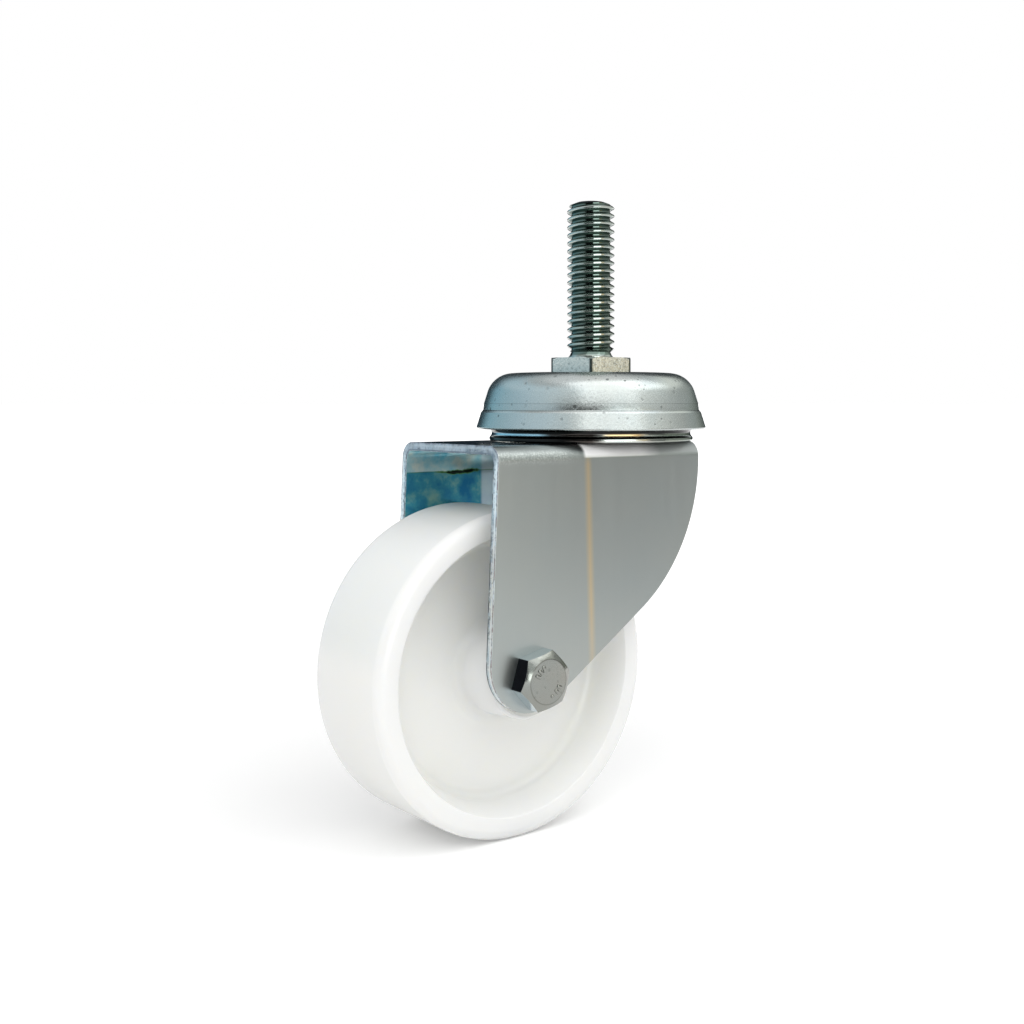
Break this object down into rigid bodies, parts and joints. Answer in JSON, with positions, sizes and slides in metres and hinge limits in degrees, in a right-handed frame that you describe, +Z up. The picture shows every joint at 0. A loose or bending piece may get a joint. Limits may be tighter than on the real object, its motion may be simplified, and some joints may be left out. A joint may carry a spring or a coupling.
{
  "type": "stem castor",
  "caption": "Swivel castor with a threaded stem, a domed double ball race head, a bent plate fork and a one-piece nylon wheel on a bolted axle.",
  "frame": {"origin": "on the stem's axis, in the top face of the hexagon collar, which meets what the castor is fixed to", "axes": "+Z up the stem, +X along the travel away from the trailing wheel, +Y along the axle towards its nut"},
  "size_m": [0.106, 0.0655, 0.1599],
  "materials": {
    "plated_bar": "bright zinc plated steel with a faint green and blue tint",
    "plated_pressing": "bright zinc plated sheet steel, finely speckled",
    "plated_plate": "zinc plated plate, satin sides and rougher cut edges",
    "plated_bolt": "zinc plated fastener",
    "ball_steel": "polished bearing steel",
    "wheel_nylon": "natural white nylon, slightly translucent",
    "washer_nylon": "natural nylon",
    "insert_nylon": "blue nylon"
  },
  "bodies": {
    "head": {"threaded_stem": "plated_bar", "head_cap": "plated_pressing", "lower_race_cup": "plated_pressing"},
    "upper_ball_set": {"upper_balls": "ball_steel"},
    "lower_ball_set": {"lower_balls": "ball_steel"},
    "fork_body": {"fork": "plated_plate", "race_ring": "plated_pressing", "axle_sleeve": "plated_bar", "near_thrust_washer": "washer_nylon", "far_thrust_washer": "washer_nylon", "axle_bolt": "plated_bolt", "nut_washer": "plated_bolt", "lock_nut": "plated_bolt", "nut_insert": "insert_nylon"},
    "wheel_body": {"wheel": "wheel_nylon"}
  },
  "joints": [
    {"name": "swivel", "type": "hinge", "parent": "head", "child": "fork_body", "pos_m": [0, 0, 0], "axis": [0, 0, 1], "continuous": true},
    {"name": "wheel_spin", "type": "hinge", "parent": "fork_body", "child": "wheel_body", "pos_m": [-0.0352, 0, -0.0779], "axis": [0, 1, 0], "continuous": true},
    {"name": "upper_ball_roll", "type": "hinge", "parent": "head", "child": "upper_ball_set", "pos_m": [0, 0, 0], "axis": [0, 0, 1], "continuous": true},
    {"name": "lower_ball_roll", "type": "hinge", "parent": "head", "child": "lower_ball_set", "pos_m": [0, 0, 0], "axis": [0, 0, 1], "continuous": true}
  ],
  "couplings": [
    {"joint": "upper_ball_roll", "follows": "swivel", "ratio": 0.5},
    {"joint": "lower_ball_roll", "follows": "swivel", "ratio": 0.5}
  ]
}
